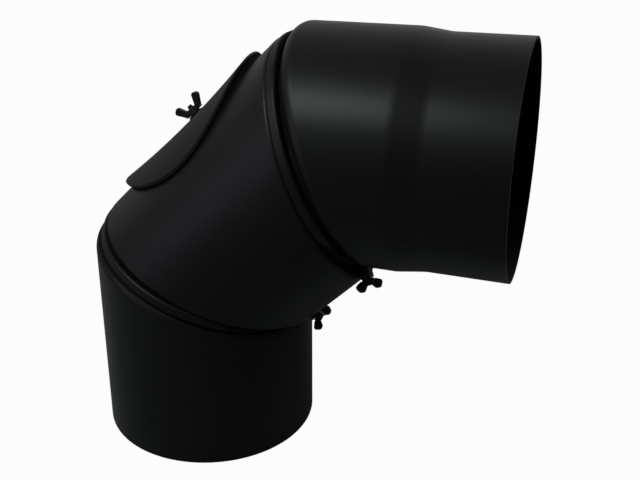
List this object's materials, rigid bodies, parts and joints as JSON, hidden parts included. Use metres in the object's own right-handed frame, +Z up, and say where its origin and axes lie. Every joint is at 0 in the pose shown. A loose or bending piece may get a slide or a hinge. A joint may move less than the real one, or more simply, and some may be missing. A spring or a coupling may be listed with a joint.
{
  "type": "stove pipe elbow with door",
  "caption": "Black steel stove pipe elbow of swivelling tube segments with collars, locking wing screws, a swaged outlet and an oval cleaning door held by a wing nut.",
  "frame": {"origin": "centre of the inlet rim, on which the elbow stands", "axes": "+Z up along the inlet tube, +X along the outlet tube away from the elbow, the bend lies in the XZ plane"},
  "size_m": [0.2936, 0.1574, 0.2959],
  "materials": {
    "black_paint": "heat-resistant satin black paint on sheet steel",
    "black_fasteners": "blackened steel",
    "fibre_gasket": "woven glass fibre, graphite black"
  },
  "bodies": {
    "lower_tube": {"lower_tube": "black_paint"},
    "middle_segment": {"middle_segment": "black_paint", "lower_collar_boss": "black_paint", "upper_collar_boss": "black_paint", "door_bridge": "black_paint", "door_stud": "black_fasteners"},
    "upper_tube": {"upper_tube": "black_paint"},
    "door_cover": {"door_cover": "black_paint", "door_gasket": "fibre_gasket", "door_washer": "black_fasteners"},
    "door_wing_nut": {"door_wing_nut": "black_fasteners"},
    "lower_collar_screw": {"lower_collar_screw": "black_fasteners"},
    "upper_collar_screw": {"upper_collar_screw": "black_fasteners"}
  },
  "joints": [
    {"name": "lower_swivel", "type": "hinge", "parent": "lower_tube", "child": "middle_segment", "pos_m": [0, 0, 0.1166], "axis": [0.3827, 0, 0.9239], "continuous": true},
    {"name": "upper_swivel", "type": "hinge", "parent": "middle_segment", "child": "upper_tube", "pos_m": [0.10232, 0, 0.21892], "axis": [0.9239, 0, 0.3827], "continuous": true},
    {"name": "door_lift", "type": "slide", "parent": "middle_segment", "child": "door_cover", "axis": [-0.7071, 0, 0.7071], "range_m": [0, 0.04]},
    {"name": "wing_nut_turn", "type": "hinge", "parent": "door_cover", "child": "door_wing_nut", "pos_m": [0.0554, 0, 0.172], "axis": [-0.7071, 0, 0.7071], "continuous": true},
    {"name": "lower_screw_turn", "type": "hinge", "parent": "middle_segment", "child": "lower_collar_screw", "pos_m": [0.00283, 0, 0.12344], "axis": [0.9239, 0, -0.3827], "continuous": true},
    {"name": "upper_screw_turn", "type": "hinge", "parent": "middle_segment", "child": "upper_collar_screw", "pos_m": [0.09548, 0, 0.21609], "axis": [0.366, -0.2924, -0.8835], "continuous": true}
  ]
}
